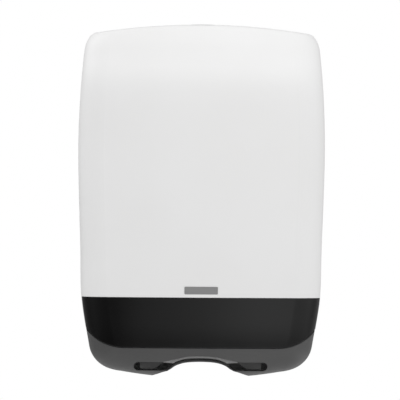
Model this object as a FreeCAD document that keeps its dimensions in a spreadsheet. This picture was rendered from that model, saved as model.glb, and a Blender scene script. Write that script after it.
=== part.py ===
import FreeCAD, Part
import math
import os
import re
import types

import Sketcher

V = FreeCAD.Vector

# Wall-mounted dispenser for folded hand towels.
# A front of three shells (white cover, smoked window, grey base) swings forward on two low pins.
# Behind it a wall plate carries the side guides, the towel tray, the outlet guide and the keeper.
# Millimetres. While a piece is drawn, z counts from the lowest point of the case.
# Every piece is then placed so that the origin is the middle of the four wall screws, on the wall.
# +Z is up, the wall is the plane y = 0 and the front looks along -Y.

SIZES = (
    # Outer form of the case
    ("body_width", 304.5),
    ("body_depth", 134.0),
    ("body_height", 430.0),
    ("wall_gap", 3.0),
    ("shell_wall", 2.6),
    ("corner_radius", 38.0),
    ("front_bow_radius", 650.0),
    ("side_draft_angle", 1.0),
    ("widest_height", 275.0),
    ("upper_side_radius", 1130.0),
    ("taper_radius", 1100.0),
    ("taper_share", 0.03),
    ("shoulder_height", 393.0),
    ("shoulder_radius", 70.0),
    ("shoulder_share", 0.6),
    ("waist_height", 96.0),
    ("waist_radius", 100.0),
    ("waist_share", 0.14),
    ("deepest_height", 190.0),
    ("profile_radius", 4000.0),
    ("lean_height", 345.0),
    ("lean_radius", 75.0),
    ("lean_share", 0.445),
    ("tuck_height", 60.0),
    ("tuck_radius", 200.0),
    ("tuck_share", 0.25),
    ("crown_radius", 820.0),
    ("crown_line", 60.0),
    ("crown_tilt_angle", 2.0),
    ("crown_edge_radius", 11.0),
    ("keel_radius", 650.0),
    ("keel_line", 105.0),
    ("keel_drop", 5.8),
    ("keel_tilt_angle", 10.0),
    ("keel_edge_radius", 35.0),
    ("datum_height", 222.0),
    ("overrun", 5.0),
    # Seams between the three shells, and the laps behind them
    ("cover_seam_height", 96.0),
    ("cover_seam_gap", 0.3),
    ("base_seam_height", 34.6),
    ("base_seam_bend", 93.4),
    ("base_seam_radius", 59.55),
    ("base_seam_angle", 53.8),
    ("base_seam_gap", 0.9),
    ("base_inset", 0.4),
    ("lap_clearance", 0.2),
    ("lap_wall", 1.8),
    ("lap_height", 10.0),
    ("lap_root", 8.0),
    # Small screws of the case
    ("screw_radius", 1.5),
    ("screw_head_radius", 2.8),
    ("screw_head_height", 2.0),
    ("screw_head_edge", 0.7),
    ("screw_recess_radius", 1.3),
    ("screw_recess_depth", 1.1),
    ("screw_clearance", 0.2),
    ("screw_bite", 7.0),
    ("screw_end_setback", 0.3),
    ("boss_radius", 4.0),
    ("tab_thickness", 2.0),
    ("tab_half_width", 6.0),
    ("cover_boss_x", 90.0),
    ("cover_boss_rise", 16.0),
    ("cover_boss_reach", 116.0),
    ("window_boss_x", 60.0),
    ("window_boss_rise", 18.4),
    ("window_boss_reach", 115.0),
    # Plate above the window seam
    ("label_width", 40.5),
    ("label_height", 9.0),
    ("label_rise", 4.3),
    ("label_recess", 0.5),
    ("label_stand", 0.15),
    ("label_clearance", 0.1),
    ("label_corner", 1.0),
    # Mouth, finger arch and vault of the base
    ("mouth_half_width", 81.5),
    ("mouth_bottom", 6.8),
    ("mouth_height", 10.4),
    ("mouth_arch_rise", 7.4),
    ("mouth_arch_half_width", 52.0),
    ("mouth_back", 94.0),
    ("vault_half_width", 60.0),
    ("vault_height", 17.1),
    ("floor_rear", 18.0),
    ("floor_notch_half_width", 122.0),
    ("floor_notch_height", 33.0),
    # Plate behind the mouth
    ("frame_face", 104.0),
    ("frame_thickness", 2.0),
    ("frame_half_width", 86.0),
    ("frame_bottom", 8.6),
    ("frame_top", 36.0),
    ("frame_foot_half_width", 74.0),
    ("frame_foot_top", 20.0),
    ("frame_foot_corner", 2.0),
    ("frame_boss_x", 72.0),
    ("frame_boss_height", 27.0),
    ("frame_boss_radius", 3.5),
    ("frame_opening_low", 62.0),
    ("frame_opening_mid", 45.0),
    ("frame_opening_bend", 17.0),
    ("frame_opening_top", 28.5),
    ("frame_opening_corner", 8.0),
    # Hinge
    ("pivot_depth", 22.0),
    ("pivot_height", 28.0),
    ("pin_radius", 3.0),
    ("pin_clearance", 0.05),
    ("pin_head_radius", 4.6),
    ("pin_head_length", 1.6),
    ("ear_x", 96.0),
    ("ear_thickness", 3.5),
    ("ear_radius", 6.5),
    ("knuckle_gap", 0.5),
    ("knuckle_length", 10.0),
    ("knuckle_radius", 6.0),
    ("bracket_width", 16.0),
    ("bracket_thickness", 2.5),
    ("bracket_bottom", 46.0),
    ("bracket_top", 62.0),
    ("bracket_screw_inset", 5.5),
    ("bracket_screw_margin", 4.2),
    # Wall plate
    ("plate_inset", 6.0),
    ("plate_thickness", 2.4),
    ("plate_bottom", 58.0),
    ("plate_skirt_bottom", 42.0),
    ("plate_skirt_half_width", 125.0),
    ("plate_apron_bottom", 11.5),
    ("plate_apron_half_width", 90.0),
    ("flange_depth", 12.0),
    ("flange_wall", 2.4),
    ("flange_bottom", 80.0),
    ("rib_depth", 3.0),
    ("rib_width", 3.0),
    ("rib_x", 62.0),
    ("wall_screw_span_x", 200.0),
    ("wall_screw_span_z", 250.0),
    ("wall_screw_radius", 2.75),
    # Side guides
    ("guide_x", 125.0),
    ("guide_wall", 2.0),
    ("guide_top", 372.0),
    ("guide_reach", 104.0),
    ("guide_foot", 12.0),
    ("guide_lip", 6.0),
    ("guide_slot_inset", 18.0),
    ("guide_screw_inset", 5.0),
    ("guide_screw_margin", 22.0),
    # Towel tray
    ("tray_height", 64.0),
    ("tray_thickness", 2.4),
    ("tray_inset", 8.0),
    ("tray_opening_width", 170.0),
    ("tray_opening_rear", 52.0),
    ("tray_opening_front", 98.0),
    ("tray_opening_corner", 10.0),
    ("tray_rim_drop", 5.0),
    ("tray_rim_wall", 2.0),
    ("tray_flange_half_width", 60.0),
    ("tray_flange_height", 18.0),
    ("tray_flange_thickness", 2.0),
    ("tray_screw_x", 45.0),
    # Outlet guide under the tray
    ("outlet_half_width", 80.0),
    ("outlet_wall", 2.0),
    ("outlet_flange_rear", 34.0),
    ("outlet_flange_front", 46.0),
    ("outlet_tip_depth", 86.0),
    ("outlet_tip_height", 24.5),
    ("outlet_screw_x", 55.0),
    # Keeper on the wall plate
    ("keeper_half_width", 13.0),
    ("keeper_wall", 2.5),
    ("keeper_foot_drop", 21.5),
    ("keeper_foot_rise", 4.0),
    ("keeper_shelf_height", 413.5),
    ("keeper_lip_face", 34.0),
    ("keeper_lip_wall", 3.0),
    ("keeper_lip_drop", 9.5),
    ("keeper_screw_x", 8.0),
    ("keeper_screw_drop", 14.5),
    # Latch in the top of the cover
    ("latch_depth", 50.0),
    ("button_radius", 11.0),
    ("button_top", 430.0),
    ("button_length", 16.0),
    ("button_clearance", 0.15),
    ("latch_travel", 7.0),
    ("block_half_width", 7.0),
    ("block_half_depth", 7.0),
    ("block_bottom", 398.0),
    ("arm_half_width", 6.0),
    ("arm_height", 4.0),
    ("tooth_wall", 3.0),
    ("tooth_gap", 1.0),
    ("tooth_bite", 6.0),
    ("bezel_radius", 15.0),
    ("bezel_flange", 1.5),
    ("bezel_sleeve_wall", 2.4),
    ("bezel_sleeve", 1.7),
    ("bezel_stand", 0.2),
    ("bezel_clearance", 0.2),
    ("key_radius", 5.0),
    ("key_thickness", 3.0),
    ("key_clearance", 0.07),
    ("key_slot_length", 6.4),
    ("key_slot_width", 1.6),
    ("key_slot_depth", 1.8),
    # Housing of the latch
    ("housing_half_width", 16.0),
    ("housing_half_depth", 13.5),
    ("housing_top", 426.6),
    ("housing_bottom", 384.0),
    ("housing_floor", 2.0),
    ("housing_clearance", 0.5),
    ("housing_flange_half_width", 32.0),
    ("housing_flange_half_depth", 7.0),
    ("housing_flange_bottom", 417.0),
    ("housing_flange_wall", 3.0),
    ("housing_screw_x", 26.0),
    ("spring_radius", 4.5),
    ("spring_wire_radius", 0.45),
    # Bumpers and the ribs that meet them
    ("bumper_x", 130.0),
    ("bumper_height", 381.2),
    ("bumper_radius", 5.0),
    ("bumper_tip_radius", 3.6),
    ("bumper_length", 15.3),
    ("bumper_gap", 0.3),
    ("stop_rib_wall", 2.4),
    ("stop_rib_reach", 42.0),
    ("stop_rib_inner_x", 128.0),
)

# Heights of the sections that the form is drawn through, as shares of the body height
station_shares = (
    -0.058, 0.023, 0.081, 0.128, 0.174, 0.221, 0.326, 0.465, 0.558,
    0.64, 0.721, 0.802, 0.842, 0.879, 0.912, 0.953, 1.035,
)

# Half of the vault's arch: shares of its half width and of its height
vault_shares = (
    (1.0, 0.0), (0.932, 0.077), (0.85, 0.177), (0.77, 0.277), (0.688, 0.36), (0.607, 0.474),
    (0.55, 0.623), (0.475, 0.766), (0.4, 0.86), (0.3, 0.937), (0.167, 0.983), (0.0, 1.0),
)

# Upper edge of the mouth beside its middle: shares of the arch's half width and rise
mouth_arch_shares = ((0.93, 0.02), (0.865, 0.07), (0.685, 0.35), (0.5, 0.64), (0.365, 0.86), (0.2, 0.975))

# Outlet guide: shares of the run from the tray rim to the tip, and of the drop to the tip
outlet_shares = ((0.0, 0.0), (0.05, 0.2), (0.36, 0.46), (0.7, 0.74), (1.0, 1.0))

# Slots of the side guides and their screws: shares of the guide's height
guide_slot_shares = ((0.06, 0.29), (0.38, 0.61), (0.7, 0.93))
guide_screw_shares = (0.0, 0.5, 1.0)

doc = FreeCAD.newDocument("FoldedTowelDispenser")
sheet = doc.addObject("Spreadsheet::Sheet", "Sizes")
for row, (alias, value) in enumerate(SIZES, start=1):
    sheet.set(f"A{row}", alias)
    sheet.set(f"B{row}", str(value))
    sheet.setAlias(f"B{row}", alias)
doc.recompute()
size = types.SimpleNamespace(**{alias: float(sheet.get(alias)) for alias, value in SIZES})
aliases = {alias for alias, value in SIZES}
pieces = []


def bound(text):
    """Turn every size name in an expression into its cell of the sheet."""
    return re.sub(r"[a-z][a-z_]+", lambda m: "Sizes." + m[0] if m[0] in aliases else m[0], text)


def value_of(text):
    return float(sheet.evalExpression(bound(text)))


def settle(obj, label):
    """Name a finished piece and lower it so that the wall screws' middle is the origin."""
    obj.Label = label
    obj.setExpression("Placement.Base.z", bound("-datum_height"))
    pieces.append(obj)
    return obj


def feature(label, shape):
    """A piece whose shape is worked out here from the sheet's sizes."""
    obj = doc.addObject("Part::Feature", label)
    obj.Shape = shape
    return settle(obj, label)


# Sketches and features of the pieces drawn as bodies


def new_sketch(body, role, offset):
    plane = next(o for o in body.Origin.OriginFeatures if o.Role == role)
    sketch = body.newObject("Sketcher::SketchObject", body.Name + "_outline")
    sketch.AttachmentSupport = (plane, [""])
    sketch.MapMode = "FlatFace"
    if offset:
        sketch.setExpression("AttachmentOffset.Base.z", bound(offset))
    return sketch


def fix_point(sketch, geometry, which, point):
    """Hold a point of the sketch at two expressions, measured from the origin."""
    for kind, axis, text in (("DistanceX", -2, point[0]), ("DistanceY", -1, point[1])):
        if text == "0":
            sketch.addConstraint(Sketcher.Constraint("PointOnObject", geometry, which, axis))
            continue
        held = Sketcher.Constraint(kind, -1, 1, geometry, which, value_of(text))
        sketch.setExpression(f"Constraints[{sketch.addConstraint(held)}]", bound(text))


def polygon(body, role, points, offset=""):
    sketch = new_sketch(body, role, offset)
    flat = [V(value_of(a), value_of(b), 0) for a, b in points]
    count = len(points)
    for i in range(count):
        sketch.addGeometry(Part.LineSegment(flat[i], flat[(i + 1) % count]), False)
    for i in range(count):
        joined = Sketcher.Constraint("Coincident", i, 2, (i + 1) % count, 1)
        sketch.addConstraint(joined)
    for i in range(count):
        fix_point(sketch, i, 1, points[i])
    return sketch


def rectangle(body, role, low, high, offset=""):
    corners = [low, (high[0], low[1]), high, (low[0], high[1])]
    return polygon(body, role, corners, offset)


def circles(body, role, centres, radius, offset=""):
    sketch = new_sketch(body, role, offset)
    for i, (a, b) in enumerate(centres):
        middle = V(value_of(a), value_of(b), 0)
        sketch.addGeometry(Part.Circle(middle, V(0, 0, 1), value_of(radius)), False)
        fix_point(sketch, i, 3, (a, b))
        held = Sketcher.Constraint("Radius", i, value_of(radius))
        sketch.setExpression(f"Constraints[{sketch.addConstraint(held)}]", bound(radius))
    return sketch


def pad(body, sketch, length, middle=False):
    made = body.newObject("PartDesign::Pad", body.Name + "_pad")
    made.Profile = sketch
    made.setExpression("Length", bound(length))
    made.Midplane = middle
    return made


def pocket(body, sketch, length, middle=False):
    made = body.newObject("PartDesign::Pocket", body.Name + "_pocket")
    made.Profile = sketch
    made.setExpression("Length", bound(length))
    made.Midplane = middle
    return made


def cylinder(name, radius, height, base, turn=None):
    made = doc.addObject("Part::Cylinder", name)
    made.setExpression("Radius", bound(radius))
    made.setExpression("Height", bound(height))
    for axis, text in zip("xyz", base):
        made.setExpression(f"Placement.Base.{axis}", bound(text))
    if turn:
        made.Placement = FreeCAD.Placement(V(0, 0, 0), turn)
    return made


def fused(name, shapes):
    made = doc.addObject("Part::MultiFuse", name)
    made.Shapes = shapes
    return made


def cut(name, base, tool):
    made = doc.addObject("Part::Cut", name)
    made.Base = base
    made.Tool = tool
    return made


# Outer form: sections drawn through, then trimmed by a crowned top and a keel-shaped floor


def eased(distance, radius, share):
    """Sideways run of a line that bends on the radius until it leans by the share."""
    if distance <= 0:
        return 0.0
    bend = share * radius
    if distance < bend:
        return distance ** 2 / (2 * radius)
    return share * (distance - bend / 2)


def half_width(z):
    above = max(z - size.widest_height, 0)
    narrowing = above ** 2 / (2 * size.upper_side_radius)
    narrowing += eased(size.widest_height - z, size.taper_radius, size.taper_share)
    narrowing += eased(z - size.shoulder_height, size.shoulder_radius, size.shoulder_share)
    narrowing += eased(size.waist_height - z, size.waist_radius, size.waist_share)
    return size.body_width / 2 - narrowing


def depth(z):
    fall = (z - size.deepest_height) ** 2 / (2 * size.profile_radius)
    fall += eased(z - size.lean_height, size.lean_radius, size.lean_share)
    fall += eased(size.tuck_height - z, size.tuck_radius, size.tuck_share)
    return size.body_depth - fall


def section(z, inset, rear):
    """Level outline: flat back, drafted sides, rounded corners and a bowed front."""
    draft = math.radians(size.side_draft_angle)
    corner = size.corner_radius - inset
    bow = size.front_bow_radius - inset
    side = half_width(z) - inset + math.tan(draft) * rear
    start = V(side, rear, z)
    along = V(-math.sin(draft), -math.cos(draft), 0)
    inward = V(-math.cos(draft), math.sin(draft), 0)
    hub = V(0, bow - (depth(z) - inset), z)
    offset = start + inward * corner - hub
    across = offset.dot(along)
    reach = math.sqrt(across ** 2 - offset.dot(offset) + (bow - corner) ** 2) - across
    centre = start + along * reach + inward * corner
    side_end = start + along * reach
    bow_end = hub + (centre - hub) * (bow / (bow - corner))
    bisector = ((side_end - centre) + (bow_end - centre)).normalize()
    middle = centre + bisector * corner

    def other(p):
        return V(-p.x, p.y, p.z)

    return Part.Wire([
        Part.LineSegment(other(start), start).toShape(),
        Part.LineSegment(start, side_end).toShape(),
        Part.Arc(side_end, middle, bow_end).toShape(),
        Part.Arc(bow_end, V(0, hub.y - bow, z), other(bow_end)).toShape(),
        Part.Arc(other(bow_end), other(middle), other(side_end)).toShape(),
        Part.LineSegment(other(side_end), other(start)).toShape(),
    ])


def slice_off(z, line, tilt_angle, radius, side):
    """Everything above (side 1) or below (side -1) a crown that is curved across and tilted."""
    span = size.body_width
    sag = radius - math.sqrt(radius ** 2 - span ** 2 / 4)
    tilt = math.tan(math.radians(tilt_angle))
    rear = size.body_depth
    front = size.body_depth * 2
    far = side * size.body_height / 2
    edge = z - side * sag
    y = -front
    fall = (y + line) * tilt
    left = V(-span / 2, y, edge + fall)
    right = V(span / 2, y, edge + fall)
    top = V(0, y, z + fall)
    lift = V(0, 0, far)
    wire = Part.Wire([
        Part.Arc(left, top, right).toShape(),
        Part.LineSegment(right, right + V(span, 0, -side * sag)).toShape(),
        Part.LineSegment(right + V(span, 0, -side * sag), right + V(span, 0, 0) + lift).toShape(),
        Part.LineSegment(right + V(span, 0, 0) + lift, left - V(span, 0, 0) + lift).toShape(),
        Part.LineSegment(left - V(span, 0, 0) + lift, left - V(span, 0, side * sag)).toShape(),
        Part.LineSegment(left - V(span, 0, side * sag), left).toShape(),
    ])
    run = front + rear
    return Part.Face(wire).extrude(V(0, run, run * tilt))


def form(inset, rear):
    """The case's outer form, moved inward by inset, with its back at y = rear."""
    heights = [share * size.body_height for share in station_shares]
    body = Part.makeLoft([section(z, inset, rear) for z in heights], True, False)
    floor = slice_off(
        inset - size.keel_drop, size.keel_line, size.keel_tilt_angle, size.keel_radius - inset, -1)
    roof = slice_off(
        size.body_height - inset, size.crown_line, size.crown_tilt_angle,
        size.crown_radius - inset, 1)
    body = body.cut(floor).cut(roof).Solids[0]

    def rounded(solid, face, radius):
        rim = [e for e in face.Edges if e.CenterOfMass.y < rear - size.shell_wall]
        return solid.makeFillet(radius, rim)

    low = min(body.Faces, key=lambda f: f.CenterOfMass.z)
    body = rounded(body, low, size.keel_edge_radius - inset)
    high = max(body.Faces, key=lambda f: f.CenterOfMass.z)
    return rounded(body, high, size.crown_edge_radius - inset)


def box(x, y, z):
    """Box from three pairs of limits."""
    return Part.makeBox(x[1] - x[0], y[1] - y[0], z[1] - z[0], V(x[0], y[0], z[0]))


def band(low, high):
    """Level slab that is wider and deeper than the case."""
    wide = size.body_width
    return box((-wide, wide), (-wide, wide), (low, high))


def prism(edges):
    """Closed outline in the front view, carried through the whole depth."""
    face = Part.Face(Part.Wire(Part.__sortEdges__(edges)))
    face.translate(V(0, -size.body_width, 0))
    return face.extrude(V(0, 2 * size.body_width, 0))


def lines(points):
    return [Part.LineSegment(a, b).toShape() for a, b in zip(points, points[1:])]


def mirrored(points):
    """The points, then their mirror images in reverse order."""
    return points + [V(-p.x, p.y, p.z) for p in reversed(points) if p.x]


def below_base_seam(lift):
    """All that lies under the seam between window and base, the seam moved up by lift."""
    turn = math.radians(size.base_seam_angle)
    radius = size.base_seam_radius - lift
    hub = V(size.base_seam_bend, 0, size.base_seam_height + size.base_seam_radius)
    wide = size.body_width
    deep = -size.body_height / 2
    flat = hub + V(0, 0, -radius)
    middle = hub + V(math.sin(turn / 2), 0, -math.cos(turn / 2)) * radius
    high = hub + V(math.sin(turn), 0, -math.cos(turn)) * radius
    out = V(wide, 0, high.z)

    def other(p):
        return V(-p.x, p.y, p.z)

    edges = lines([other(flat), flat]) + [Part.Arc(flat, middle, high).toShape()]
    edges += lines([high, out, V(wide, 0, deep), V(-wide, 0, deep), other(out), other(high)])
    edges += [Part.Arc(other(high), other(middle), other(flat)).toShape()]
    return prism(edges)


def vault(grow):
    """Space under the arch that runs from the mouth to the wall, grown by a wall."""
    wide = size.vault_half_width + grow
    high = size.vault_height + grow
    half = [V(a * wide, 0, b * high) for a, b in vault_shares]
    curve = Part.BSplineCurve()
    curve.interpolate(mirrored(half))
    foot = V(wide, 0, -size.body_height / 2)
    edges = [curve.toShape()]
    edges += lines([V(-wide, 0, 0), V(-wide, 0, foot.z), foot, V(wide, 0, 0)])
    return prism(edges)


def mouth():
    """Slot with round ends whose upper edge is arched up in the middle."""
    bottom = size.mouth_bottom
    top = bottom + size.mouth_height
    end = size.mouth_height / 2
    straight = size.mouth_half_width - end
    arch = [V(size.mouth_arch_half_width, 0, top)]
    for a, b in mouth_arch_shares:
        arch.append(V(a * size.mouth_arch_half_width, 0, top + b * size.mouth_arch_rise))
    arch.append(V(0, 0, top + size.mouth_arch_rise))
    curve = Part.BSplineCurve()
    curve.interpolate(mirrored(arch))
    right = lines([V(size.mouth_arch_half_width, 0, top), V(straight, 0, top)])
    right += [Part.Arc(V(straight, 0, top), V(straight + end, 0, bottom + end),
                       V(straight, 0, bottom)).toShape()]
    left = [e.mirror(V(0, 0, 0), V(1, 0, 0)) for e in right]
    edges = right + [curve.toShape()] + left
    edges += lines([V(straight, 0, bottom), V(-straight, 0, bottom)])
    wide = size.body_width
    front = box((-wide, wide), (-wide, -size.mouth_back), (-wide, wide))
    return prism(edges).common(front)


def rod(radius, start, end):
    return Part.makeCylinder(radius, (end - start).Length, start, end - start)


def both(shapes):
    """Shapes made on the right, with their mirror images."""
    return shapes + [s.mirror(V(0, 0, 0), V(1, 0, 0)) for s in shapes]


def screw(point, towards, grip):
    """Pan-head screw: point is where the head sits, grip the stack under it before it bites."""
    way = V(*towards)
    shank = rod(size.screw_radius, point, point + way * (grip + size.screw_bite))
    head = rod(size.screw_head_radius, point - way * size.screw_head_height, point)
    rim = max(head.Edges, key=lambda e: (e.CenterOfMass - point).dot(-way))
    head = head.makeFillet(size.screw_head_edge, [rim])
    top = point - way * size.screw_head_height
    recess = rod(size.screw_recess_radius, top, top + way * size.screw_recess_depth)
    return head.fuse(shank).cut(recess).removeSplitter()


def pilot(point, towards, grip):
    """Hole that a screw bites in, under the stack that it clamps."""
    way = V(*towards)
    return rod(size.screw_radius, point + way * grip, point + way * (grip + size.screw_bite))


def clearance_hole(point, towards, grip):
    way = V(*towards)
    radius = size.screw_radius + size.screw_clearance
    return rod(radius, point - way * size.tab_thickness, point + way * grip)


rim_y = -size.wall_gap
open_y = size.overrun
wall = size.shell_wall
lap_outer = wall + size.lap_clearance
lap_inner = lap_outer + size.lap_wall
outer = form(0, rim_y)
cavity = form(wall, open_y)
lap_form = form(lap_outer, rim_y)
lap_cavity = form(lap_inner, open_y)

# Screws that hold the three shells together: places, and the tab and boss at each
to_front = (0, -1, 0)
cover_joint = V(size.cover_boss_x, -size.cover_boss_reach + size.tab_thickness,
                size.cover_seam_height + size.cover_boss_rise)
window_joint = V(size.window_boss_x, -size.window_boss_reach + size.tab_thickness,
                 size.base_seam_height + size.window_boss_rise)


def tab(joint, root):
    """Upright tab with a shelf that joins it to the lap in front of it."""
    side = (joint.x - size.tab_half_width, joint.x + size.tab_half_width)
    face = joint.y - size.tab_thickness
    plate = box(side, (face, joint.y), (root - size.tab_thickness, joint.z + size.boss_radius))
    shelf = box(side, (-size.body_depth, joint.y), (root - size.tab_thickness, root))
    return plate.fuse(shelf).cut(clearance_hole(joint, to_front, size.tab_thickness))


def boss(joint):
    base = joint + V(0, -size.tab_thickness, 0)
    solid = rod(size.boss_radius, base, base + V(0, -size.body_depth, 0))
    return solid.cut(pilot(joint, to_front, size.tab_thickness))


# White cover: a hollowed top part with bosses, stop ribs and the seat of the bezel
latch_axis = V(0, -size.latch_depth, 0)
bezel_step = size.button_top + size.bezel_stand - size.bezel_flange
cover_bottom = size.cover_seam_height + size.cover_seam_gap / 2
housing_screw = V(size.housing_screw_x, -size.latch_depth, size.housing_flange_bottom)
flange_top = size.housing_flange_bottom + size.housing_flange_wall
hanger = rod(size.boss_radius, V(housing_screw.x, housing_screw.y, flange_top),
             V(housing_screw.x, housing_screw.y, size.body_height + size.overrun))
hanger = hanger.cut(pilot(housing_screw, (0, 0, 1), size.housing_flange_wall))
stop_rear = -(size.plate_thickness + size.bumper_length + size.bumper_gap)
stop = box((size.stop_rib_inner_x, size.body_width / 2),
           (stop_rear - size.stop_rib_reach, stop_rear),
           (size.bumper_height - size.stop_rib_wall / 2, size.bumper_height + size.stop_rib_wall / 2))
stop_pad = box((size.stop_rib_inner_x, size.bumper_x + size.bumper_radius),
               (stop_rear - size.stop_rib_wall, stop_rear),
               (size.bumper_height - size.bumper_radius, size.bumper_height + size.bumper_radius))
cover_hollow = cavity.cut(both([boss(cover_joint), hanger, stop, stop_pad]))
cover = outer.common(band(cover_bottom, 2 * size.body_height)).cut(cover_hollow)
sleeve_radius = size.button_radius + size.button_clearance + size.bezel_sleeve_wall
cover = cover.cut([
    rod(size.bezel_radius + size.bezel_clearance, latch_axis + V(0, 0, bezel_step),
        latch_axis + V(0, 0, size.body_height + size.overrun)),
    rod(sleeve_radius + size.bezel_clearance, latch_axis + V(0, 0, size.housing_top),
        latch_axis + V(0, 0, size.body_height)),
])

# Grey plate on the cover, let in a shallow recess that follows the front
label_low = size.cover_seam_height + size.label_rise


def label_block(grow):
    """Rounded bar from the front, at the label's place."""
    half = size.label_width / 2 + grow
    solid = box((-half, half), (-size.body_width, -size.body_depth / 2),
                (label_low - grow, label_low + size.label_height + grow))
    upright = [e for e in solid.Edges if e.BoundBox.YLength > size.label_height]
    return solid.makeFillet(size.label_corner, upright)


def label_skin(inset):
    """Solid piece of the case's form around the label, moved inward by inset."""
    heights = (label_low - size.label_height, label_low + size.label_height / 2,
               label_low + 2 * size.label_height)
    return Part.makeLoft([section(z, inset, open_y) for z in heights], True, False)


label_floor = label_skin(size.label_recess)
cover = cover.cut(label_block(size.label_clearance).cut(label_floor))
feature("front_cover", cover)
label = label_block(0).common(label_skin(-size.label_stand)).cut(label_floor)
feature("label_plate", label)

# Smoked window, with a lap that reaches up behind the cover
window_top = size.cover_seam_height - size.cover_seam_gap / 2
window_root = window_top - size.lap_root
lap_top = size.cover_seam_height + size.lap_height
window = outer.common(band(-size.body_height, window_top)).cut(below_base_seam(size.base_seam_gap / 2))
window = window.fuse(lap_form.common(band(window_top, lap_top)))
window_fittings = both([tab(cover_joint, lap_top), boss(window_joint)])
window = window.cut(cavity.common(band(-size.body_height, window_root)).cut(window_fittings))
window = window.cut(lap_cavity.common(band(window_root, 2 * size.body_height)).cut(window_fittings))
window = window.fuse(both([tab(cover_joint, lap_top).common(band(lap_top, size.body_height))]))
feature("window", window.removeSplitter())

# Grey base with the mouth, its lap behind the window, and the hinge knuckles
base_edge = -size.base_seam_gap / 2
base_root = below_base_seam(base_edge - size.lap_root)
base_lap_top = size.base_seam_height + size.lap_root
rear_floor = box((-size.floor_notch_half_width, size.floor_notch_half_width),
                 (-size.body_depth / 2, size.body_depth),
                 (-size.body_height, 2 * size.body_height))
base = form(size.base_inset, rim_y).common(below_base_seam(base_edge)).cut(vault(0))
base_lap = lap_form.common(below_base_seam(size.lap_root).cut(below_base_seam(base_edge)))
base = base.fuse(base_lap.cut(rear_floor))
frame_back = -size.frame_face + size.frame_thickness
frame_joint = V(size.frame_boss_x, frame_back, size.frame_boss_height)
post = rod(size.frame_boss_radius, V(frame_joint.x, -size.frame_face, frame_joint.z),
           V(frame_joint.x, -size.body_depth, frame_joint.z))
post = post.cut(pilot(frame_joint, to_front, size.frame_thickness))
knuckle_x = size.ear_x + size.ear_thickness + size.knuckle_gap
pivot = V(0, -size.pivot_depth, size.pivot_height)
knuckle = rod(size.knuckle_radius, pivot + V(knuckle_x, 0, 0),
              pivot + V(knuckle_x + size.knuckle_length, 0, 0))
knuckle = knuckle.fuse(box((knuckle_x, knuckle_x + size.knuckle_length),
                           (pivot.y - size.knuckle_radius, pivot.y + size.knuckle_radius),
                           (-size.body_height, pivot.z)))
knuckle = knuckle.cut(rod(size.pin_radius + size.pin_clearance, pivot,
                          pivot + V(size.body_width, 0, 0)))
base_fittings = both([post, knuckle, tab(window_joint, base_lap_top)])
low_hollow = form(size.base_inset + wall, open_y).cut(vault(wall))
high_hollow = lap_cavity.cut(base_root).cut(rear_floor)
base = base.cut(low_hollow.common(base_root.fuse(rear_floor)).cut(base_fittings))
base = base.cut(high_hollow.cut(base_fittings))
base = base.fuse(both([tab(window_joint, base_lap_top).common(band(base_lap_top, size.body_height))]))
base = base.cut(mouth())
base = base.cut(box((-size.floor_notch_half_width, size.floor_notch_half_width),
                    (-size.floor_rear, size.body_depth),
                    (-size.body_height, size.floor_notch_height)))
feature("base", base.removeSplitter())

# Plate behind the mouth, screwed to two posts of the base
opening = mirrored([
    V(size.frame_opening_low, 0, -size.body_height / 2),
    V(size.frame_opening_low, 0, size.mouth_bottom - size.frame_thickness),
    V(size.frame_opening_mid, 0, size.frame_opening_bend),
    V(size.frame_opening_mid - size.frame_opening_corner / 2, 0,
      size.frame_opening_top - size.frame_opening_corner / 2),
    V(size.frame_opening_mid - size.frame_opening_corner, 0, size.frame_opening_top),
])
throat = prism(lines(opening + opening[:1]))
frame_foot = box((-size.frame_foot_half_width, size.frame_foot_half_width),
                 (-size.frame_face, frame_back), (size.frame_bottom, size.frame_top))
low_corners = [e for e in frame_foot.Edges
               if e.BoundBox.YLength > size.frame_thickness / 2 and e.BoundBox.ZMax < size.frame_top]
frame_foot = frame_foot.makeFillet(size.frame_foot_corner, low_corners)
frame_plate = box((-size.frame_half_width, size.frame_half_width),
                  (-size.frame_face, frame_back), (size.frame_foot_top, size.frame_top))
frame_plate = frame_plate.fuse(frame_foot).removeSplitter().cut(throat)
frame_plate = frame_plate.cut(both([clearance_hole(frame_joint, to_front, size.frame_thickness)]))
feature("mouth_plate", frame_plate)

feature("cover_screws", Part.makeCompound(both([screw(cover_joint, to_front, size.tab_thickness)])))
feature("window_screws", Part.makeCompound(both([screw(window_joint, to_front, size.tab_thickness)])))
feature("mouth_plate_screws",
        Part.makeCompound(both([screw(frame_joint, to_front, size.frame_thickness)])))

# Wall plate: a tray-shaped panel that follows the case, with four screw holes
plate_face = -size.plate_thickness
to_wall = (0, 1, 0)
plate_form = form(size.plate_inset, open_y)
wide = size.body_width
panel = plate_form.common(box((-wide, wide), (plate_face, 0), (size.plate_bottom, size.body_height)))
skirt = box((-size.plate_skirt_half_width, size.plate_skirt_half_width), (plate_face, 0),
            (size.plate_skirt_bottom, size.plate_bottom + size.plate_thickness))
apron = box((-size.plate_apron_half_width, size.plate_apron_half_width), (plate_face, 0),
            (size.plate_apron_bottom, size.plate_skirt_bottom + size.plate_thickness))
apron = apron.cut(vault(size.plate_thickness / 2))
flange = plate_form.cut(form(size.plate_inset + size.flange_wall, open_y))
flange = flange.common(box((-wide, wide), (-size.flange_depth, 0),
                           (size.flange_bottom, size.body_height)))
rib = box((size.rib_x - size.rib_width / 2, size.rib_x + size.rib_width / 2),
          (plate_face - size.rib_depth, plate_face),
          (size.tray_height + size.tray_flange_height + size.rib_width,
           size.keeper_shelf_height - size.keeper_foot_drop))
plate = panel.fuse([skirt, apron, flange] + both([rib]))
hole_low = size.datum_height - size.wall_screw_span_z / 2
wall_holes = []
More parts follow.
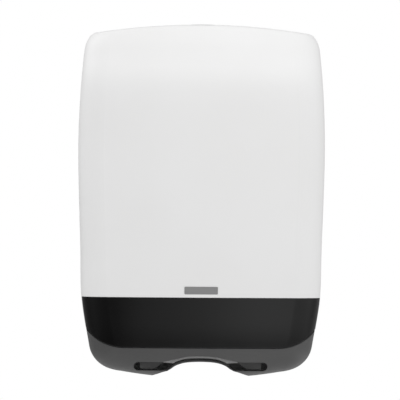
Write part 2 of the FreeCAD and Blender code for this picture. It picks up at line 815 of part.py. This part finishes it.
for z in (hole_low, hole_low + size.wall_screw_span_z):
    at = V(size.wall_screw_span_x / 2, plate_face - size.overrun, z)
    wall_holes.append(rod(size.wall_screw_radius, at, V(at.x, size.overrun, z)))
plate = plate.cut(both(wall_holes))

# Places of the screws that bite in the wall plate, each with the thickness that it clamps
guide_bottom = size.tray_height + size.tray_thickness
guide_height = size.guide_top - guide_bottom
guide_screw_points = []
for share in guide_screw_shares:
    z = guide_bottom + size.guide_screw_margin
    z += share * (guide_height - 2 * size.guide_screw_margin)
    x = size.guide_x - size.guide_foot + size.guide_screw_inset
    guide_screw_points.append(V(x, plate_face - size.guide_wall, z))
bracket_x = size.ear_x + size.bracket_width - size.bracket_screw_inset
bracket_screw_points = [
    V(bracket_x, plate_face - size.bracket_thickness, size.bracket_bottom + size.bracket_screw_margin),
    V(bracket_x, plate_face - size.bracket_thickness, size.bracket_top - size.bracket_screw_margin),
]
tray_screw_point = V(size.tray_screw_x, plate_face - size.tray_flange_thickness,
                     size.tray_height + size.tray_flange_height / 2 + size.tray_thickness / 2)
keeper_screw_point = V(size.keeper_screw_x, plate_face - size.keeper_wall,
                       size.keeper_shelf_height - size.keeper_screw_drop)
plate_screws = (
    ("guide_screws", guide_screw_points, size.guide_wall),
    ("bracket_screws", bracket_screw_points, size.bracket_thickness),
    ("tray_screws", [tray_screw_point], size.tray_flange_thickness),
    ("keeper_screws", [keeper_screw_point], size.keeper_wall),
)


def plate_screw(point, grip):
    """Short screw that ends just inside the back of the wall plate."""
    whole = screw(point, to_wall, grip)
    end = -size.screw_end_setback
    return whole.common(box((-wide, wide), (-wide, end), (-wide, 2 * size.body_height)))


for name, points, grip in plate_screws:
    plate = plate.cut(both([pilot(p, to_wall, grip) for p in points]))
    feature(name, Part.makeCompound(both([plate_screw(p, grip) for p in points])))
feature("wall_plate", plate.removeSplitter())

# Towel tray: follows the case, with a rimmed opening and a flange on the wall plate
tray = Part.Face(section(size.tray_height, size.tray_inset, plate_face))
tray = tray.extrude(V(0, 0, size.tray_thickness))
hole_x = size.tray_opening_width / 2


def tray_opening(grow):
    solid = box((-hole_x - grow, hole_x + grow),
                (-size.tray_opening_front - grow, -size.tray_opening_rear + grow),
                (size.tray_height - size.tray_rim_drop, guide_bottom))
    upright = [e for e in solid.Edges if e.BoundBox.ZLength > size.tray_thickness]
    return solid.makeFillet(size.tray_opening_corner + grow, upright)


tray = tray.fuse([
    tray_opening(size.tray_rim_wall),
    box((-size.tray_flange_half_width, size.tray_flange_half_width),
        (plate_face - size.tray_flange_thickness, plate_face),
        (size.tray_height, size.tray_height + size.tray_flange_height)),
])
tray_hole = clearance_hole(tray_screw_point, to_wall, size.tray_flange_thickness)
tray = tray.cut([tray_opening(0)] + both([tray_hole]))
outlet_grip = size.outlet_wall
outlet_screw_point = V(size.outlet_screw_x, -(size.outlet_flange_rear + size.outlet_flange_front) / 2,
                       size.tray_height - size.outlet_wall)
tray = tray.cut(both([rod(size.screw_radius, outlet_screw_point,
                          V(outlet_screw_point.x, outlet_screw_point.y, guide_bottom))]))
feature("towel_tray", tray.removeSplitter())
outlet_screw = screw(outlet_screw_point, (0, 0, 1), outlet_grip)
outlet_screw = outlet_screw.common(band(0, guide_bottom))
feature("outlet_guide_screws", Part.makeCompound(both([outlet_screw])))


def side_text(side, text):
    return f"{side} * ({text})"


def sided_start(side, near, thickness):
    """Start of an extrusion along +X that lies on one side of the middle."""
    return near if side > 0 else f"-({near}) - ({thickness})"


# Side guides: channel with a foot on the wall plate and a lip that keeps the towels in
for name, side in (("side_guide_right", 1), ("side_guide_left", -1)):
    body = doc.addObject("PartDesign::Body", name)
    channel = [
        ("guide_x - guide_foot", "-plate_thickness"),
        ("guide_x + guide_wall", "-plate_thickness"),
        ("guide_x + guide_wall", "-guide_reach"),
        ("guide_x - guide_lip", "-guide_reach"),
        ("guide_x - guide_lip", "-guide_reach + guide_wall"),
        ("guide_x", "-guide_reach + guide_wall"),
        ("guide_x", "-plate_thickness - guide_wall"),
        ("guide_x - guide_foot", "-plate_thickness - guide_wall"),
    ]
    channel = [(side_text(side, a), b) for a, b in channel]
    outline = polygon(body, "XY_Plane", channel, "tray_height + tray_thickness")
    pad(body, outline, "guide_top - tray_height - tray_thickness")
    start = sided_start(side, "guide_x - guide_wall", "guide_wall * 3")
    tall = "(guide_top - tray_height - tray_thickness)"
    for low, high in guide_slot_shares:
        corner = ("-guide_reach + guide_slot_inset", f"tray_height + tray_thickness + {tall} * {low}")
        across = ("-plate_thickness - guide_slot_inset",
                  f"tray_height + tray_thickness + {tall} * {high}")
        slot = rectangle(body, "YZ_Plane", corner, across, f"{start} + guide_wall * 3")
        pocket(body, slot, "guide_wall * 3")
    places = []
    for share in guide_screw_shares:
        rise = f"{tall} * {share} + guide_screw_margin * (1 - 2 * {share})"
        places.append((side_text(side, "guide_x - guide_foot + guide_screw_inset"),
                       f"tray_height + tray_thickness + {rise}"))
    holes = circles(body, "XZ_Plane", places, "screw_radius + screw_clearance",
                    "plate_thickness + guide_wall + screw_clearance")
    pocket(body, holes, "guide_wall + 2 * screw_clearance")
    settle(body, name)

# Hinge brackets: a foot under the tray and an ear that reaches to the pivot
for name, side in (("hinge_bracket_right", 1), ("hinge_bracket_left", -1)):
    body = doc.addObject("PartDesign::Body", name)
    foot = rectangle(body, "XZ_Plane", (side_text(side, "ear_x"), "bracket_bottom"),
                     (side_text(side, "ear_x + bracket_width"), "bracket_top"), "plate_thickness")
    pad(body, foot, "bracket_thickness")
    start = sided_start(side, "ear_x", "ear_thickness")
    arm = [
        ("-plate_thickness", "bracket_bottom"),
        ("-plate_thickness", "bracket_top"),
        ("-pivot_depth - ear_radius", "pivot_height"),
        ("-pivot_depth + ear_radius * 0.98", "pivot_height + ear_radius * 0.17"),
    ]
    pad(body, polygon(body, "YZ_Plane", arm, start), "ear_thickness")
    tip = circles(body, "YZ_Plane", [("-pivot_depth", "pivot_height")], "ear_radius", start)
    pad(body, tip, "ear_thickness")
    bore = circles(body, "YZ_Plane", [("-pivot_depth", "pivot_height")], "pin_radius",
                   f"{start} + ear_thickness + overrun")
    pocket(body, bore, "ear_thickness + 2 * overrun")
    places = [
        (side_text(side, "ear_x + bracket_width - bracket_screw_inset"),
         "bracket_bottom + bracket_screw_margin"),
        (side_text(side, "ear_x + bracket_width - bracket_screw_inset"),
         "bracket_top - bracket_screw_margin"),
    ]
    holes = circles(body, "XZ_Plane", places, "screw_radius + screw_clearance",
                    "plate_thickness + bracket_thickness + screw_clearance")
    pocket(body, holes, "bracket_thickness + 2 * screw_clearance")
    settle(body, name)

# Hinge pins: a head inside the ear, pressed in the ear and running in the knuckle
along_x = FreeCAD.Rotation(V(0, 1, 0), 90)
for name, side in (("hinge_pin_right", 1), ("hinge_pin_left", -1)):
    long = "ear_thickness + knuckle_gap + knuckle_length"
    shank = cylinder(name + "_shank", "pin_radius", long,
                     (sided_start(side, "ear_x", long), "-pivot_depth", "pivot_height"), along_x)
    head = cylinder(name + "_head", "pin_head_radius", "pin_head_length",
                    (sided_start(side, "ear_x - pin_head_length", "pin_head_length"),
                     "-pivot_depth", "pivot_height"), along_x)
    settle(fused(name, [shank, head]), name)

# Outlet guide: bent plate that leads the towels from the tray to the mouth
body = doc.addObject("PartDesign::Body", "outlet_guide")
run = "(outlet_tip_depth - outlet_flange_front)"
drop = "(tray_height - outlet_wall - outlet_tip_height)"
front_points = []
rear_points = []
for along, down in outlet_shares:
    front_points.append((f"-outlet_flange_front - {run} * {along} - outlet_wall / 2",
                         f"tray_height - {drop} * {down} - outlet_wall * {down}"))
    rear_points.append((f"-outlet_flange_front - {run} * {along} + outlet_wall / 2",
                        f"tray_height - outlet_wall - {drop} * {down}"))
profile = front_points + rear_points[::-1]
profile += [("-outlet_flange_rear", "tray_height - outlet_wall"),
            ("-outlet_flange_rear", "tray_height")]
pad(body, polygon(body, "YZ_Plane", profile), "outlet_half_width * 2", True)
middle_y = "-(outlet_flange_rear + outlet_flange_front) / 2"
holes = circles(body, "XY_Plane", [("outlet_screw_x", middle_y), ("-outlet_screw_x", middle_y)],
                "screw_radius + screw_clearance", "tray_height + screw_clearance")
pocket(body, holes, "outlet_wall + 2 * screw_clearance")
settle(body, "outlet_guide")

# Keeper: foot on the wall plate, shelf, and a lip that the latch tooth hooks behind
body = doc.addObject("PartDesign::Body", "latch_keeper")
hook = [
    ("-plate_thickness", "keeper_shelf_height - keeper_foot_drop"),
    ("-plate_thickness - keeper_wall", "keeper_shelf_height - keeper_foot_drop"),
    ("-plate_thickness - keeper_wall", "keeper_shelf_height"),
    ("-keeper_lip_face + keeper_lip_wall", "keeper_shelf_height"),
    ("-keeper_lip_face + keeper_lip_wall", "keeper_shelf_height - keeper_lip_drop"),
    ("-keeper_lip_face", "keeper_shelf_height - keeper_lip_drop"),
    ("-keeper_lip_face", "keeper_shelf_height + keeper_wall"),
    ("-plate_thickness - keeper_wall", "keeper_shelf_height + keeper_wall"),
    ("-plate_thickness - keeper_wall", "keeper_shelf_height + keeper_foot_rise"),
    ("-plate_thickness", "keeper_shelf_height + keeper_foot_rise"),
]
pad(body, polygon(body, "YZ_Plane", hook), "keeper_half_width * 2", True)
places = [("keeper_screw_x", "keeper_shelf_height - keeper_screw_drop"),
          ("-keeper_screw_x", "keeper_shelf_height - keeper_screw_drop")]
holes = circles(body, "XZ_Plane", places, "screw_radius + screw_clearance",
                "plate_thickness + keeper_wall + screw_clearance")
pocket(body, holes, "keeper_wall + 2 * screw_clearance")
settle(body, "latch_keeper")

# Latch button: round cap, block, and an arm with an upturned tooth behind the keeper's lip
body = doc.addObject("PartDesign::Body", "latch_button")
latch_y = "-latch_depth"
cap = circles(body, "XY_Plane", [("0", latch_y)], "button_radius", "button_top - button_length")
pad(body, cap, "button_length")
block = rectangle(body, "XY_Plane", ("-block_half_width", "-latch_depth - block_half_depth"),
                  ("block_half_width", "-latch_depth + block_half_depth"), "block_bottom")
pad(body, block, "button_top - button_length - block_bottom")
tooth_face = "-keeper_lip_face + keeper_lip_wall + tooth_gap"
lip_bottom = "(keeper_shelf_height - keeper_lip_drop)"
tooth = [
    ("-latch_depth", "block_bottom"),
    (f"{tooth_face} + tooth_wall", "block_bottom"),
    (f"{tooth_face} + tooth_wall", f"{lip_bottom} + tooth_bite"),
    (tooth_face, f"{lip_bottom} + tooth_bite"),
    (tooth_face, "block_bottom + arm_height"),
    ("-latch_depth", "block_bottom + arm_height"),
]
pad(body, polygon(body, "YZ_Plane", tooth), "arm_half_width * 2", True)
seat = circles(body, "XY_Plane", [("0", latch_y)], "key_radius + key_clearance", "button_top")
pocket(body, seat, "key_thickness")
settle(body, "latch_button")

# Bezel: ring let into the cover's top, flush with it
flange_ring = cylinder("bezel_flange_ring", "bezel_radius", "bezel_flange",
                       ("0", latch_y, "button_top + bezel_stand - bezel_flange"))
sleeve = cylinder("bezel_sleeve_ring", "button_radius + button_clearance + bezel_sleeve_wall",
                  "bezel_sleeve",
                  ("0", latch_y, "button_top + bezel_stand - bezel_flange - bezel_sleeve"))
bore = cylinder("bezel_bore", "button_radius + button_clearance", "overrun * 2",
                ("0", latch_y, "button_top - overrun"))
settle(cut("lock_bezel", fused("bezel_ring", [flange_ring, sleeve]), bore), "lock_bezel")

# Key disc: turns in the button, slotted for the key
disc = cylinder("key_blank", "key_radius", "key_thickness",
                ("0", latch_y, "button_top - key_thickness"))
slot = doc.addObject("Part::Box", "key_slot")
slot.setExpression("Length", bound("key_slot_length"))
slot.setExpression("Width", bound("key_slot_width"))
slot.setExpression("Height", bound("key_slot_depth * 2"))
slot.setExpression("Placement.Base.x", bound("-key_slot_length / 2"))
slot.setExpression("Placement.Base.y", bound("-latch_depth - key_slot_width / 2"))
slot.setExpression("Placement.Base.z", bound("button_top - key_slot_depth"))
settle(cut("key_disc", disc, slot), "key_disc")

# Latch housing: block under the cover's top that guides the button and holds its spring
body = doc.addObject("PartDesign::Body", "lock_housing")
shell = rectangle(body, "XY_Plane", ("-housing_half_width", "-latch_depth - housing_half_depth"),
                  ("housing_half_width", "-latch_depth + housing_half_depth"), "housing_bottom")
pad(body, shell, "housing_top - housing_bottom")
ears = rectangle(body, "XY_Plane",
                 ("-housing_flange_half_width", "-latch_depth - housing_flange_half_depth"),
                 ("housing_flange_half_width", "-latch_depth + housing_flange_half_depth"),
                 "housing_flange_bottom")
pad(body, ears, "housing_flange_wall")
guide = circles(body, "XY_Plane", [("0", latch_y)], "button_radius + button_clearance",
                "housing_top")
cap_floor = "(button_top - button_length - latch_travel - housing_clearance)"
pocket(body, guide, f"housing_top - {cap_floor}")
well = rectangle(
    body, "XY_Plane",
    ("-block_half_width - housing_clearance", "-latch_depth - block_half_depth - housing_clearance"),
    ("block_half_width + housing_clearance", "-latch_depth + block_half_depth + housing_clearance"),
    cap_floor)
pocket(body, well, f"{cap_floor} - housing_bottom - housing_floor")
slit = rectangle(
    body, "XZ_Plane",
    ("-arm_half_width - housing_clearance", "block_bottom - latch_travel - housing_clearance"),
    ("arm_half_width + housing_clearance", "block_bottom + arm_height + housing_clearance"),
    "latch_depth")
pocket(body, slit, "housing_half_depth * 2")
places = [("housing_screw_x", latch_y), ("-housing_screw_x", latch_y)]
holes = circles(body, "XY_Plane", places, "screw_radius + screw_clearance",
                "housing_flange_bottom + housing_flange_wall + screw_clearance")
pocket(body, holes, "housing_flange_wall + 2 * screw_clearance")
settle(body, "lock_housing")
feature("lock_screws", Part.makeCompound(
    both([screw(housing_screw, (0, 0, 1), size.housing_flange_wall)])))

# Spring under the block, from the housing's floor
spring_low = size.housing_bottom + size.housing_floor + size.spring_wire_radius
spring_rise = size.block_bottom - size.spring_wire_radius - spring_low
spring_turns = 5
coil = Part.makeLongHelix(spring_rise / spring_turns, spring_rise, size.spring_radius, 0)
coil.translate(latch_axis + V(0, 0, spring_low))
first = coil.Edges[0]
start_point = first.valueAt(first.FirstParameter)
start_way = first.tangentAt(first.FirstParameter)
wire_end = Part.Wire(Part.Circle(start_point, start_way, size.spring_wire_radius).toShape())
spring = Part.Wire(coil.Edges).makePipeShell([wire_end], True, True)
feature("latch_spring", Part.Solid(spring) if spring.ShapeType == "Shell" else spring)

# Rubber bumpers on the wall plate, where the cover's ribs come to rest
along_y = FreeCAD.Rotation(V(1, 0, 0), 90)
for name, side in (("bumper_right", 1), ("bumper_left", -1)):
    foot = cylinder(name + "_foot", "bumper_radius", "bumper_length * 0.7",
                    (side_text(side, "bumper_x"), "-plate_thickness", "bumper_height"), along_y)
    tip = cylinder(name + "_tip", "bumper_tip_radius", "bumper_length",
                   (side_text(side, "bumper_x"), "-plate_thickness", "bumper_height"), along_y)
    settle(fused(name, [foot, tip]), name)

doc.recompute()

for obj in doc.Objects:
    if "Invalid" in obj.State or "Error" in obj.State:
        raise RuntimeError(f"{obj.Name} could not be rebuilt: {obj.State}")
for piece in pieces:
    if piece.Shape.isNull() or not piece.Shape.isValid() or not piece.Shape.Solids:
        raise RuntimeError(f"{piece.Label} has no valid solid")

os.makedirs("parts", exist_ok=True)
for piece in pieces:
    piece.Shape.exportStep(os.path.join("parts", piece.Label + ".step"))
    print(f"{piece.Label:22s} {len(piece.Shape.Solids)} solids {piece.Shape.Volume:10.0f} mm3")
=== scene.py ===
import math

import bmesh
import bpy
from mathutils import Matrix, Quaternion, Vector

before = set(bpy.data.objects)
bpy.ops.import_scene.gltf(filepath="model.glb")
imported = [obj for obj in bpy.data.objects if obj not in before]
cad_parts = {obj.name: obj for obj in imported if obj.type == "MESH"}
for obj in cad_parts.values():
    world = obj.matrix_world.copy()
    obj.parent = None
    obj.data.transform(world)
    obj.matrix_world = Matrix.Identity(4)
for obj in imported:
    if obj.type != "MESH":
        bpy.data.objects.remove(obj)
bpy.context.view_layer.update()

# Wall-mounted dispenser for folded hand towels, dressed for a plain studio view.
# Metres. The origin is the middle of the wall screws, +Z is up and the front looks along -Y.

# View: nearly square to the front through a long lens
view_target = Vector((-0.0016, -0.060, -0.0070))
view_distance = 7.5
view_width = 0.4912
view_azimuth = -0.4
view_elevation = 0.0
view_roll = 0.37
sensor_width = 36.0

# Studio floor: height, width, glow, and the distances at which it fades away
floor_height = -0.80
floor_span = 2.6
floor_glow = 0.04
floor_fade = (0.55, 1.2)

# Light of the room: its level, and its rise to the right and upward
room_level = 0.925
room_sideways = 0.05
room_upward = 0.10

# Room that glossy surfaces see: its levels in front from far left to far right, the level behind and
# its rise to the right, the rise upward, a lighter band low down, and the white far behind
mirror_levels = ((-1.0, 0.22), (-0.86, 0.15), (-0.55, 0.10), (-0.33, 0.10), (-0.23, 0.36), (0.0, 0.54),
                 (0.22, 0.84), (0.31, 0.86), (0.5, 0.66), (1.0, 0.75))
mirror_behind = 0.18
mirror_behind_sideways = 0.10
mirror_fall = 1.8
mirror_ground = 0.9
mirror_ground_edge = (-0.3, -0.6)
mirror_ground_end = (-0.88, -0.65)
mirror_front_edge = (0.35, -0.1)
backdrop_edge = (0.96, 0.995)

# Soft lamps: place, size and watts
lamp_aim = Vector((0.0, -0.06, 0.0))
lamps = (
    ("soft_left", Vector((-0.55, 0.10, 0.45)), 0.4, 0.58),
    ("soft_right", Vector((0.25, -0.45, 0.45)), 0.4, 0.17),
    ("soft_top", Vector((0.0, -0.45, 0.75)), 0.6, 0.58),
)

# Tones as they read on a screen, 0 to 255
cover_tone = 232
cover_shade_tone = 230
window_tone = 10
base_tone = 78
base_shade_tone = 74
inner_tone = 86
chassis_tone = 190
label_tone = 134
lock_tone = 150
rubber_tone = 40
key_tone = 168
steel_tone = 176
spangle_contrast = 22
floor_tones = (206, 212)

# Curve between screen tones and linear light
tone_full = 255
curve_knee = 0.04
curve_slope = 12.92
curve_offset = 0.055
curve_power = 2.4

# Patterns: scale, detail and, where it isn't a half, roughness
mottle_pattern = (9.0, 3.0)
grain_pattern = (1400.0, 1.0)
scuff_pattern = (34.0, 5.0, 0.62)
wave_pattern = (14.0, 1.0)
haze_pattern = (26.0, 4.0, 0.6)
brush_pattern = (3.0, 3.0)
rub_pattern = (160.0, 3.0)
speck_pattern = (700.0, 2.0)
floor_pattern = (3.0, 4.0)
spangle_scale = 420.0

# Parts of a pattern that are spread over its whole run
mottle_range = (0.35, 0.65)
scuff_range = (0.62, 0.8)
haze_range = (0.45, 0.75)

# Turns and stretches of the patterns that have a direction
scuff_turn = (0.3, 0.2, 0.9)
scuff_stretch = (1, 1, 6)
brush_stretch = (14, 1, 900)
rub_turn = (0, 0.5, 0.2)
rub_stretch = (1, 9, 1)

# Optics, and the depth of the fine relief and radius of the softened edges in metres
plastic_ior = 1.46
window_ior = 1.5
label_ior = 1.45
rubber_ior = 1.5
sheen_spread = 0.4
base_sheen = 0.10
edge_samples = 6
fine_relief = 0.0001
window_relief = 0.0004
steel_relief = 0.00005
cover_edge = 0.0010
base_edge = 0.0012
plastic_edge = 0.0006
window_edge = 0.0007
thin_edge = 0.0003


def tone(level, warmth=0.0):
    """Colour of a screen tone, in linear light, a little warmer or cooler."""
    share = level / tone_full
    if share < curve_knee:
        linear = share / curve_slope
    else:
        linear = ((share + curve_offset) / (1 + curve_offset)) ** curve_power
    return (linear * (1 + warmth), linear, linear * (1 - warmth), 1.0)


class Amount:
    """A value that varies over a surface. Arithmetic on it adds Math nodes."""

    def __init__(self, finish, socket):
        self.finish = finish
        self.socket = socket

    def maths(self, operation, *values):
        return self.finish.node("ShaderNodeMath", {"operation": operation}, dict(enumerate(values)))

    def __add__(self, other):
        return self.maths("ADD", self, other)

    __radd__ = __add__

    def __mul__(self, other):
        return self.maths("MULTIPLY", self, other)

    __rmul__ = __mul__

    def __sub__(self, other):
        return self.maths("SUBTRACT", self, other)

    def __rsub__(self, other):
        return self.maths("SUBTRACT", other, self)

    def __truediv__(self, other):
        return self.maths("DIVIDE", self, other)

    def __pow__(self, other):
        return self.maths("POWER", self, other)

    def clamped(self):
        return self.finish.node("ShaderNodeClamp", {}, {"Value": self})


class Finish:
    """Node tree of one surface, or of the world."""

    def __init__(self, owner):
        owner.use_nodes = True
        self.owner = owner
        self.tree = owner.node_tree
        self.tree.nodes.clear()

    def node(self, kind, settings=None, values=None, result=0):
        """Add a node: its settings first, then its sockets' values or links."""
        made = self.tree.nodes.new(kind)
        for name, value in (settings or {}).items():
            if name == "stops":
                self.set_stops(made.color_ramp.elements, value)
            else:
                setattr(made, name, value)
        for key, value in (values or {}).items():
            socket = made.inputs[key]
            if isinstance(value, Amount):
                self.tree.links.new(value.socket, socket)
            else:
                socket.default_value = value
        return Amount(self, made.outputs[result]) if made.outputs else made

    def set_stops(self, elements, stops):
        """A ramp's places and levels, from left to right."""
        while len(elements) < len(stops):
            elements.new(1.0)
        for element, (at, level) in zip(elements, stops):
            element.position = at
            element.color = (level, level, level, 1.0)

    def place(self, turn=(0, 0, 0), stretch=(1, 1, 1)):
        """Object coordinates, turned and stretched for a pattern."""
        at = self.node("ShaderNodeTexCoord", result="Object")
        return self.node("ShaderNodeMapping", {}, {"Vector": at, "Rotation": turn, "Scale": stretch})

    def noise(self, at, scale, detail=2.0, roughness=0.5):
        return self.node("ShaderNodeTexNoise", {}, {
            "Vector": at, "Scale": scale, "Detail": detail, "Roughness": roughness}, "Fac")

    def ramped(self, value, low, high):
        """The value's run from low to high, spread over 0 to 1."""
        return ((value - low) / (high - low)).clamped()

    def blended(self, share, first, second):
        return self.node("ShaderNodeMix", {"data_type": "RGBA"}, {0: share, 6: first, 7: second}, 2)

    def softened(self, height, strength, distance, edge):
        """Normal of a surface with rounded edges and a fine relief."""
        rounded = self.node("ShaderNodeBevel", {"samples": edge_samples}, {"Radius": edge})
        return self.node("ShaderNodeBump", {}, {
            "Strength": strength, "Distance": distance, "Height": height, "Normal": rounded})

    def surface(self, **sockets):
        names = {key.replace("_", " ").title(): value for key, value in sockets.items()}
        if "Ior" in names:
            names["IOR"] = names.pop("Ior")
        shader = self.node("ShaderNodeBsdfPrincipled", {}, names)
        self.node("ShaderNodeOutputMaterial", {}, {"Surface": shader})
        return self.owner


def new_finish(name):
    return Finish(bpy.data.materials.new(name))


def moulded_plastic(name, light, dark, roughness, grain, edge=plastic_edge, sheen=0.0):
    """Moulded plastic: faint flow mottle, a fine eroded grain and softened edges."""
    finish = new_finish(name)
    at = finish.place()
    mottle = finish.noise(at, *mottle_pattern)
    cloud = finish.ramped(mottle, *mottle_range)
    fine = finish.noise(at, *grain_pattern)
    streaks = finish.noise(finish.place(scuff_turn, scuff_stretch), *scuff_pattern)
    scuffs = finish.ramped(streaks, *scuff_range)
    return finish.surface(
        base_color=finish.blended(cloud, light, dark),
        roughness=roughness + 0.05 * mottle + 0.07 * scuffs,
        ior=plastic_ior,
        sheen_weight=sheen,
        sheen_roughness=sheen_spread,
        normal=finish.softened(fine, grain, fine_relief, edge))


cover_white = moulded_plastic("cover_white_plastic", tone(cover_tone), tone(cover_shade_tone, 0.002),
                              0.42, 0.10, cover_edge)
base_grey = moulded_plastic("base_grey_plastic", tone(base_tone), tone(base_shade_tone),
                            0.45, 0.22, base_edge, base_sheen)
inner_grey = moulded_plastic("inner_grey_plastic", tone(inner_tone), tone(inner_tone - 6),
                             0.55, 0.25)
chassis_grey = moulded_plastic("chassis_light_grey_plastic", tone(chassis_tone), tone(chassis_tone - 8),
                               0.5, 0.2)
lock_grey = moulded_plastic("lock_grey_plastic", tone(lock_tone), tone(lock_tone - 6), 0.36, 0.12)


def smoked_window():
    """Smoked clear plastic: glossy, nearly black, with the slight waviness of a moulding."""
    finish = new_finish("window_smoked_plastic")
    at = finish.place()
    waves = finish.noise(at, *wave_pattern)
    haze = finish.ramped(finish.noise(at, *haze_pattern), *haze_range)
    return finish.surface(
        base_color=finish.blended(haze, tone(window_tone), tone(window_tone + 2)),
        roughness=0.12 + 0.04 * haze,
        ior=window_ior,
        normal=finish.softened(waves, 0.25, window_relief, window_edge))


def brushed_plate():
    """Grey foil plate with a fine brushing along its length."""
    finish = new_finish("label_grey_brushed")
    lines = finish.noise(finish.place(stretch=brush_stretch), *brush_pattern)
    return finish.surface(
        base_color=finish.blended(lines, tone(label_tone - 8), tone(label_tone + 8)),
        roughness=0.38 + 0.12 * lines,
        metallic=0.0,
        ior=label_ior,
        normal=finish.softened(lines, 0.12, fine_relief, thin_edge))


def plated_steel(name, level, roughness):
    """Zinc-plated steel with a soft spangle and light rub marks."""
    finish = new_finish(name)
    at = finish.place()
    spangle = finish.node("ShaderNodeTexVoronoi", {"feature": "F1"},
                          {"Vector": at, "Scale": spangle_scale}, "Distance")
    rub = finish.noise(finish.place(rub_turn, rub_stretch), *rub_pattern)
    return finish.surface(
        base_color=finish.blended(spangle.clamped(), tone(level), tone(level - spangle_contrast)),
        metallic=1.0,
        roughness=roughness + 0.16 * rub,
        normal=finish.softened(rub, 0.15, steel_relief, thin_edge))


def black_rubber():
    finish = new_finish("bumper_black_rubber")
    specks = finish.noise(finish.place(), *speck_pattern)
    return finish.surface(
        base_color=finish.blended(specks, tone(rubber_tone - 8), tone(rubber_tone + 8)),
        roughness=0.8 + 0.1 * specks,
        ior=rubber_ior,
        normal=finish.softened(specks, 0.35, fine_relief, plastic_edge))


finishes = {
    "front_cover": cover_white,
    "window": smoked_window(),
    "base": base_grey,
    "label_plate": brushed_plate(),
    "latch_button": lock_grey,
    "lock_bezel": lock_grey,
    "key_disc": plated_steel("key_satin_zinc", key_tone, 0.3),
    "mouth_plate": inner_grey,
    "lock_housing": inner_grey,
    "latch_keeper": inner_grey,
    "wall_plate": chassis_grey,
    "side_guide_right": chassis_grey,
    "side_guide_left": chassis_grey,
    "towel_tray": chassis_grey,
    "outlet_guide": chassis_grey,
}
steel = plated_steel("fittings_zinc_plated_steel", steel_tone, 0.28)
rubber = black_rubber()
for name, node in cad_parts.items():
    finish = finishes.get(name, rubber if name.startswith("bumper") else steel)
    for slot in node.material_slots:
        slot.material = finish


# Camera
turn = math.radians(view_azimuth)
rise = math.radians(view_elevation)
back = Vector((math.sin(turn) * math.cos(rise), -math.cos(turn) * math.cos(rise), math.sin(rise)))
camera_data = bpy.data.cameras.new("front_view")
camera_data.sensor_width = sensor_width
camera_data.lens = sensor_width * view_distance / view_width
camera = bpy.data.objects.new("front_view", camera_data)
camera.location = view_target + back * view_distance
camera.rotation_mode = "QUATERNION"
aimed = (-back).to_track_quat("-Z", "Y")
camera.rotation_quaternion = aimed @ Quaternion((0, 0, 1), math.radians(view_roll))
bpy.context.scene.collection.objects.link(camera)
bpy.context.scene.camera = camera

# Lamps
for name, at, span, watts in lamps:
    lamp = bpy.data.lights.new(name, "AREA")
    lamp.shape = "SQUARE"
    lamp.size = span
    lamp.energy = watts
    holder = bpy.data.objects.new(name, lamp)
    holder.location = at
    holder.rotation_mode = "QUATERNION"
    holder.rotation_quaternion = (lamp_aim - at).to_track_quat("-Z", "Y")
    holder.visible_camera = False
    bpy.context.scene.collection.objects.link(holder)

# Room: white where the camera looks and behind the dispenser, softly lit elsewhere
room = bpy.data.worlds.new("studio_room")
bpy.context.scene.world = room
light = Finish(room)
seen = light.node("ShaderNodeLightPath", result="Is Camera Ray")
glossy = light.node("ShaderNodeLightPath", result="Is Glossy Ray")
passed = light.node("ShaderNodeLightPath", result="Is Transmission Ray")
heading = light.node("ShaderNodeTexCoord", result="Generated")
across = light.node("ShaderNodeSeparateXYZ", {}, {"Vector": heading}, "X")
inward = light.node("ShaderNodeSeparateXYZ", {}, {"Vector": heading}, "Y")
upward = light.node("ShaderNodeSeparateXYZ", {}, {"Vector": heading}, "Z")
backdrop = light.ramped(inward, *backdrop_edge)
mirrored = (glossy + passed).clamped()
white = (seen + mirrored * backdrop).clamped()
diffuse_level = room_level + room_sideways * across + room_upward * upward
stops = [((at + 1) / 2, level) for at, level in mirror_levels]
ahead = light.node("ShaderNodeValToRGB", {"stops": stops}, {"Fac": (across + 1) / 2})
ahead = ahead * (1 + mirror_fall * upward).clamped()
front = light.ramped(inward, *mirror_front_edge)
behind = mirror_behind + mirror_behind_sideways * across
ground = light.ramped(upward, *mirror_ground_edge) * light.ramped(upward, *mirror_ground_end)
mirror_level = behind + front * (ahead - behind) + mirror_ground * ground * (1 + across)
level = white + (1 - white) * (mirrored * mirror_level + (1 - mirrored) * diffuse_level)
glow = light.node("ShaderNodeBackground", {}, {"Color": (1, 1, 1, 1), "Strength": level})
light.node("ShaderNodeOutputWorld", {}, {"Surface": glow})

# Floor far below the dispenser, fading into the room
grid = bmesh.new()
bmesh.ops.create_grid(grid, x_segments=1, y_segments=1, size=floor_span / 2)
bmesh.ops.translate(grid, verts=grid.verts, vec=(0, 0, floor_height))
floor_mesh = bpy.data.meshes.new("floor")
grid.to_mesh(floor_mesh)
grid.free()
floor = bpy.data.objects.new("floor", floor_mesh)
bpy.context.scene.collection.objects.link(floor)
pale = new_finish("floor_pale")
at = pale.place()
speckle = pale.noise(at, *floor_pattern)
board = pale.node("ShaderNodeBsdfPrincipled", {}, {
    "Base Color": pale.blended(speckle, *map(tone, floor_tones)),
    "Roughness": 0.8 + 0.1 * speckle,
    "Emission Color": (1, 1, 1, 1), "Emission Strength": floor_glow})
gone = pale.node("ShaderNodeBsdfTransparent")
away = pale.node("ShaderNodeVectorMath", {"operation": "LENGTH"}, {0: at}, "Value")
fade = pale.ramped((away ** 2 - floor_height ** 2) ** 0.5, *floor_fade)
edge = pale.node("ShaderNodeMixShader", {}, {"Fac": fade, 1: board, 2: gone})
pale.node("ShaderNodeOutputMaterial", {}, {"Surface": edge})
floor_mesh.materials.append(pale.owner)

bpy.context.scene.view_settings.view_transform = "Standard"
